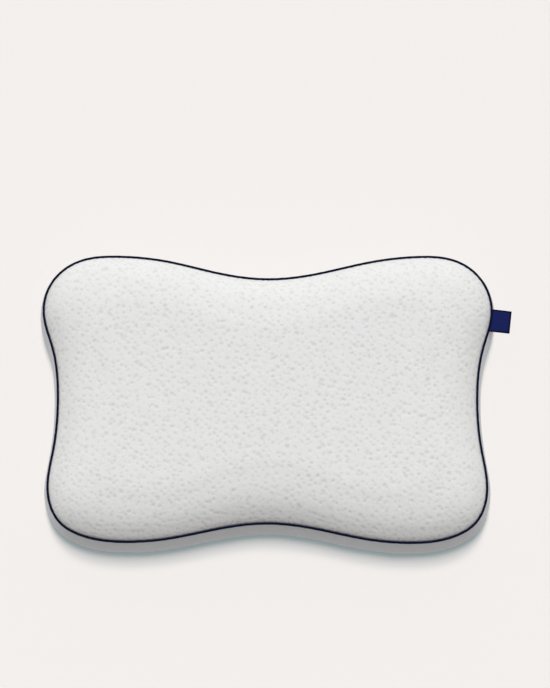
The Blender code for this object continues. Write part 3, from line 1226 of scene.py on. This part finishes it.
@dataclass
class LabelTab(SewnPiece):
    """The bare ribbon tab, folded double, that stands out of the seam at the right."""

    width: float = 30.2 * MM
    reach: float = 24.8 * MM
    layer: float = 0.5 * MM
    space: float = 0.35 * MM
    droop: float = 1.8 * MM
    drop: float = 0.6 * MM
    tuck: float = 1.6 * MM
    cup: float = 0.35 * MM
    heading: float = -5.2
    end_heading: float = -6.4
    seam_place: float = 0.3546
    columns: int = 28
    rows: int = 24
    fold_steps: int = 8

    def _section(self) -> tuple[np.ndarray, np.ndarray]:
        """The folded ribbon's closed section.

        Returns:
            (reach, height) points round both faces of the ribbon, and how far along the ribbon each is,
            0 at the upper root and growing over the fold.
        """
        half = self.space / 2 + self.layer
        straight = self.reach - half
        run = straight * np.linspace(0, 1, self.rows + 1)
        turn = np.linspace(0, math.pi, self.fold_steps + 1)[1:-1]

        def face(radius: float) -> tuple[np.ndarray, np.ndarray]:
            """One face of the ribbon, out along the top, round the fold and back below."""
            fold = np.column_stack([straight + radius * np.sin(turn), radius * np.cos(turn)])
            upper = np.column_stack([run, np.full(len(run), radius)])
            lower = np.column_stack([run[::-1], np.full(len(run), -radius)])
            along = np.concatenate([run, straight + half * turn / 2, 2 * self.reach - run[::-1]])
            return np.vstack([upper, fold, lower]), along

        outer, outer_along = face(half)
        inner, inner_along = face(self.space / 2)
        return np.vstack([outer, inner[::-1]]), np.concatenate([outer_along, inner_along[::-1]])

    def build(self, material: bpy.types.Material) -> bpy.types.Object:
        sizes = self.sizes
        middle = self.seam.at(np.array([self.seam_place]))
        outward = middle.outward[0]
        root_out = sizes.piping_out + sizes.piping_radius
        tip = middle.points[0] + outward * root_out + self._towards(self.heading) * self.reach
        along_end = self._towards(self.end_heading - 90)
        section, ribbon_along = self._section()
        share = (section[:, 0] - self.tuck) / (self.reach - self.tuck)
        rows, flats = [], []
        for column in range(self.columns + 1):
            offset = self.width * (column / self.columns - 0.5)
            station = self.seam.at(np.array([self.seam_place + offset]))
            root = station.points[0] + station.outward[0] * root_out
            end = tip + along_end * offset
            plan = root + (end - root) * share[:, None]
            cup = self.cup * math.cos(math.pi * offset / self.width) * share
            base = sizes.seam_height - self.drop - self.droop * share * np.abs(share) + cup
            rows.append(np.column_stack([plan, base + section[:, 1]]))
            flats.append(np.column_stack([np.full(len(share), offset), ribbon_along - self.reach]))
        numbers = ring_numbers(len(section), self.columns + 1)
        faces = ring_quads(numbers).tolist()
        faces += self._side_strip(numbers[0]) + self._side_strip(numbers[-1])
        piece = mesh_piece("ribbon_tab", np.vstack(rows), faces)
        give_map(piece, np.vstack(flats))
        hand_over(piece, Slot.LABEL, material, "label_tab")
        return piece

    def _towards(self, degrees: float) -> np.ndarray:
        """The plan direction that many degrees anticlockwise of +X."""
        return np.array([math.cos(math.radians(degrees)), math.sin(math.radians(degrees))])

    def _side_strip(self, ring: np.ndarray) -> list:
        """Quads that close the ribbon's cut side, between its outer and inner faces."""
        half = len(ring) // 2
        outer, inner = ring[:half], ring[half:][::-1]
        return np.column_stack([outer[:-1], outer[1:], inner[1:], inner[:-1]]).tolist()


@dataclass
class BaseStitches(SewnPiece):
    """The short thread loops that show in the groove of the base seam."""

    pitch: float = 3.2 * MM
    length: float = 2.0 * MM
    radius: float = 0.22 * MM
    slant: float = 0.35
    inset: float = 0.1 * MM

    def build(self, material: bpy.types.Material) -> bpy.types.Object:
        """Model one stitch, then repeat it round the seam as one piece."""
        bpy.ops.mesh.primitive_uv_sphere_add(segments=6, ring_count=5, radius=1.0)
        first = bpy.context.object
        first.scale = (self.radius, self.radius, self.length / 2)
        bpy.ops.object.transform_apply(location=False, rotation=False, scale=True)
        shape = np.array([point.co for point in first.data.vertices])
        outline = [list(face.vertices) for face in first.data.polygons]
        bpy.data.objects.remove(first, do_unlink=True)
        count = int(self.seam.length / self.pitch)
        loop = self.seam.loop(count)
        height = self.sizes.base_seam + self.sizes.fit / 2
        places, faces = [], []
        for point, outward in zip(loop.offset(self.sizes.base_seam_out - self.inset), loop.outward):
            ahead = np.array([outward[1], -outward[0]])
            lean = shape[:, 2:] * self.slant
            plan = point + shape[:, :1] * outward + (shape[:, 1:2] + lean) * ahead
            faces += [[corner + len(places) * len(shape) for corner in face] for face in outline]
            places.append(np.column_stack([plan, height + shape[:, 2]]))
        piece = mesh_piece("base_seam_stitches", np.vstack(places), faces)
        give_map(piece, np.vstack(places)[:, :2])
        hand_over(piece, Slot.BASE, material)
        return piece


@dataclass(frozen=True)
class Lamp:
    """A far lamp over the set: where it stands, its colour and strength, and what it lights."""

    name: str
    azimuth: float
    from_zenith: float
    strength: float
    colour: tuple[float, float, float]
    spread: float

    def place(self, lit: bpy.types.Collection, casting: bpy.types.Collection | None) -> None:
        """Add the lamp, aimed at the pillow.

        Args:
            lit: What it lights.
            casting: What casts shadows in its light, or None for everything.
        """
        bpy.ops.object.light_add(type="SUN", location=(0, 0, 3))
        lamp = bpy.context.object
        lamp.name = self.name
        lamp.data.energy = self.strength
        lamp.data.color = self.colour
        lamp.data.angle = math.radians(self.spread)
        lean, way = math.radians(self.from_zenith), math.radians(self.azimuth)
        towards = Vector((math.sin(way) * math.sin(lean), math.cos(way) * math.sin(lean), math.cos(lean)))
        lamp.rotation_mode = "QUATERNION"
        lamp.rotation_quaternion = towards.to_track_quat("Z", "Y")
        lamp.light_linking.receiver_collection = lit
        if casting is not None:
            lamp.light_linking.blocker_collection = casting


@dataclass
class Studio:
    """Pale floor, soft light and the camera, which looks down from a little in front.

    The pillow has two broad lamps, left and right of the back. The floor has a fan of narrow ones of its
    own, because its shadow is soft in front of the pillow and almost missing at the sides.
    """

    sizes: CoverSizes
    elevation: float = 77.3
    distance: float = 5.0
    sensor: float = 36.0
    frame_height_px: int = 688
    metres_per_px: float = 1.32 * MM
    pillow_left_px: float = 7.5
    pillow_below_px: float = 54.4
    floor_size: float = 60.0
    floor_colour: tuple[float, float, float] = (0.18, 0.18, 0.18)
    floor_glow: tuple[float, float, float] = (0.221, 0.268, 0.277)
    sky: float = 0.38
    sky_lean: float = 0.312
    pillow_lamps: tuple[Lamp, ...] = (
        Lamp("key_right", 36, 25.5, 1.155, (1.0, 1.0, 1.0), 25),
        Lamp("key_left", -36, 25.5, 1.155, (1.0, 1.0, 1.0), 25),
    )
    floor_lamps: tuple[Lamp, ...] = tuple(
        Lamp(f"floor_key_{step}", 0, 8.4 + 4.3 * (step - 2), 2.17, (1.0, 0.868, 0.814), 8)
        for step in range(5)
    )

    def build(self, pieces: list[bpy.types.Object]) -> None:
        """Set the stage round the finished pieces."""
        floor = self._floor()
        lit = self._group("lit_pillow", pieces)
        for lamp in self.pillow_lamps:
            lamp.place(lit, None)
        casting = [piece for piece in pieces if piece.name != "ribbon_tab"]
        lit, casting = self._group("lit_floor", [floor]), self._group("shades_floor", casting)
        for lamp in self.floor_lamps:
            lamp.place(lit, casting)
        self._sky()
        self._camera()
        bpy.context.scene.view_settings.view_transform = "Standard"
        bpy.context.scene.view_settings.look = "None"

    def _floor(self) -> bpy.types.Object:
        """The plain floor, with a slight cool glow of its own, so that the shadow on it stays pale."""
        bpy.ops.mesh.primitive_plane_add(size=self.floor_size, location=(0, 0, 0))
        floor = bpy.context.object
        floor.name = "studio_floor"
        shader = Shader("floor_paint", self.floor_colour, 1.0, 0.0)
        shader.surface.inputs["Emission Color"].default_value = (*self.floor_glow, 1.0)
        shader.surface.inputs["Emission Strength"].default_value = 1.0
        floor.data.materials.append(shader.material)
        return floor

    def _group(self, name: str, members: list[bpy.types.Object]) -> bpy.types.Collection:
        """A named collection of those objects."""
        group = bpy.data.collections.new(name)
        for member in members:
            group.objects.link(member)
        return group

    def _sky(self) -> None:
        """Soft light from all round, stronger from the back than from the front."""
        world = bpy.data.worlds.new("soft_box")
        world.use_nodes = True
        nodes, links = world.node_tree.nodes, world.node_tree.links
        way = nodes.new("ShaderNodeTexCoord")
        split = nodes.new("ShaderNodeSeparateXYZ")
        level = nodes.new("ShaderNodeMath")
        level.operation = "MULTIPLY_ADD"
        level.inputs[1].default_value = self.sky_lean
        level.inputs[2].default_value = self.sky
        links.new(way.outputs["Generated"], split.inputs[0])
        links.new(split.outputs["Y"], level.inputs[0])
        links.new(level.outputs[0], nodes["Background"].inputs["Color"])
        bpy.context.scene.world = world

    def _camera(self) -> None:
        """The long-lensed camera at the photograph's angle, shifted sideways to its framing."""
        rise = math.radians(self.elevation)
        back = Vector((0.0, -math.cos(rise), math.sin(rise)))
        up = Vector((0.0, math.sin(rise), math.cos(rise)))
        aim = Vector((0.0, 0.0, self.sizes.seam_height))
        aim += Vector((1.0, 0.0, 0.0)) * self.pillow_left_px * self.metres_per_px
        aim += up * self.pillow_below_px * self.metres_per_px
        bpy.ops.object.camera_add(location=aim + back * self.distance)
        camera = bpy.context.object
        camera.name = "front_camera"
        camera.rotation_mode = "QUATERNION"
        camera.rotation_quaternion = back.to_track_quat("Z", "Y")
        camera.data.sensor_width = self.sensor
        camera.data.lens = self.sensor * self.distance / (self.frame_height_px * self.metres_per_px)
        camera.data.clip_end = 200.0
        bpy.context.scene.camera = camera


def main() -> None:
    """Build every piece of the pillow and the set round it."""
    logging.basicConfig(level=logging.INFO, format="%(name)s %(message)s")
    bpy.ops.object.select_all(action="DESELECT")
    seam = SeamLine()
    sizes = CoverSizes.from_frame()
    top_knit = KnitFinish(
        "dimpled_knit", (0.784, 0.784, 0.78), hollow=0.845, wale=0.95 * MM, course=0.7 * MM, relief=0.1 * MM
    )
    base_knit = KnitFinish(
        "plain_knit", (0.74, 0.74, 0.73), hollow=0.9, wale=1.1 * MM, course=0.8 * MM, relief=0.12 * MM
    )
    # The band's colour is greyer and bluer than the top's white knit: partly its own paler tone, partly
    # painted shade and a painted cool cast of the shadowed floor on its front face.
    band_knit = RibFinish(
        "ribbed_knit_painted_shade", (0.65, 0.663, 0.692), hollow=0.88, rib=2.0 * MM, relief=0.16 * MM
    )
    navy = BiasFinish("navy_bias_cloth", dark=(0.0008, 0.002, 0.012), light=(0.002, 0.006, 0.030))
    tab = LabelTab(seam, sizes)
    swell = CoverSwell()
    swell.run(seam, sizes)
    ribbon = RibbonFinish(
        "navy_ribbon",
        ground=(0.006, 0.012, 0.10),
        edge=(0.0003, 0.0003, 0.008),
        half_width=tab.width / 2,
    )
    pieces = [
        FilledTop(seam, sizes, swell).build(top_knit.make(pits=True)),
        SideBand(seam, sizes, swell).build(band_knit.make()),
        BasePanel(seam, sizes).build(base_knit.make(pits=False)),
        Piping(seam, sizes).build(navy.make()),
        tab.build(ribbon.make()),
        BaseStitches(seam, sizes).build(base_knit.make(pits=False)),
    ]
    Studio(sizes).build(pieces)


if __name__ == "__main__":
    main()
